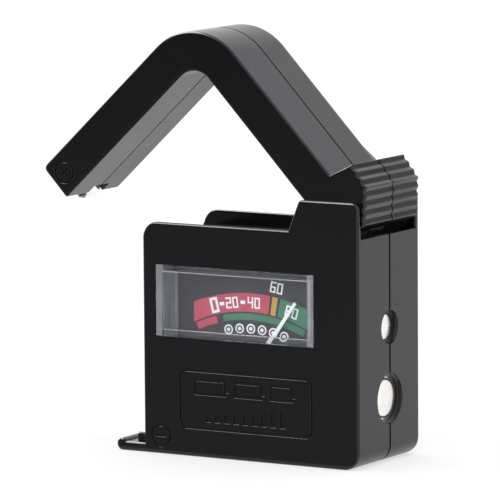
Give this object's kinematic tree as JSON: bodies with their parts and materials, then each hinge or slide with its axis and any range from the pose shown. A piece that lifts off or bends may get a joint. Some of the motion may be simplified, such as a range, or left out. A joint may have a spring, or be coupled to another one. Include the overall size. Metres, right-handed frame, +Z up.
{
  "type": "battery tester",
  "caption": "Pocket battery tester with an analogue meter window, a contact ledge, side snap contacts and a sprung elbow arm with a ribbed thumb lever.",
  "frame": {"origin": "middle of the case's flat underside, on the plane it stands on (case width and depth centred, ledge left out)", "axes": "+X to the tester's right as its meter is read, +Y to its back, +Z up; the meter faces -Y"},
  "size_m": [0.0666, 0.022, 0.0759],
  "materials": {
    "case_black": "black injection-moulded plastic with a fine grain",
    "screw_steel": "zinc-plated screw",
    "axle_steel": "ground steel",
    "contact_nickel": "nickel-plated spring sheet",
    "clear_cover": "clear moulded plastic",
    "dial_grey": "dark grey paint with coloured bands",
    "meter_black": "moulded plastic",
    "magnet_grey": "sintered magnet",
    "soft_iron": "soft iron",
    "meter_brass": "turned or stamped brass",
    "bobbin_aluminium": "thin aluminium frame",
    "copper_wire": "enamelled copper winding",
    "pointer_white": "white paint",
    "hairspring_bronze": "bronze ribbon",
    "resistor_ceramic": "lacquered ceramic",
    "wire_black": "insulated wire",
    "wire_red": "insulated wire",
    "wire_yellow": "insulated wire",
    "spring_steel": "spring steel wire"
  },
  "bodies": {
    "case": {"front_shell": "case_black", "rear_shell": "case_black", "case_screws": "screw_steel", "arm_axle": "axle_steel", "negative_contact": "contact_nickel", "snap_contact_small": "contact_nickel", "snap_contact_large": "contact_nickel", "meter_cover": "clear_cover", "dial_plate": "dial_grey", "meter_base": "meter_black", "meter_magnet": "magnet_grey", "meter_yoke": "soft_iron", "meter_core": "soft_iron", "meter_bridges": "meter_brass", "jewel_screws": "meter_brass", "meter_terminals": "meter_brass", "load_resistors": "resistor_ceramic", "wire_negative": "wire_black", "wire_positive": "wire_red", "wire_snap": "wire_yellow", "arm_spring": "spring_steel"},
    "needle": {"pointer": "pointer_white", "coil_bobbin": "bobbin_aluminium", "coil_winding": "copper_wire", "meter_staff": "axle_steel", "balance_weight": "meter_brass", "hairspring": "hairspring_bronze"},
    "arm": {"arm_front_half": "case_black", "arm_rear_half": "case_black", "arm_screws": "screw_steel", "positive_contact": "contact_nickel", "arm_wire": "wire_red"}
  },
  "joints": [
    {"name": "arm_swing", "type": "hinge", "parent": "case", "child": "arm", "pos_m": [0.0181, 0, 0.043], "axis": [0, 1, 0], "range_deg": [-43.5, 22], "deforming": ["arm_spring"]},
    {"name": "needle_swing", "type": "hinge", "parent": "case", "child": "needle", "pos_m": [-0.0032, 0, 0.0147], "axis": [0, 1, 0], "range_deg": [-66, 4]}
  ]
}
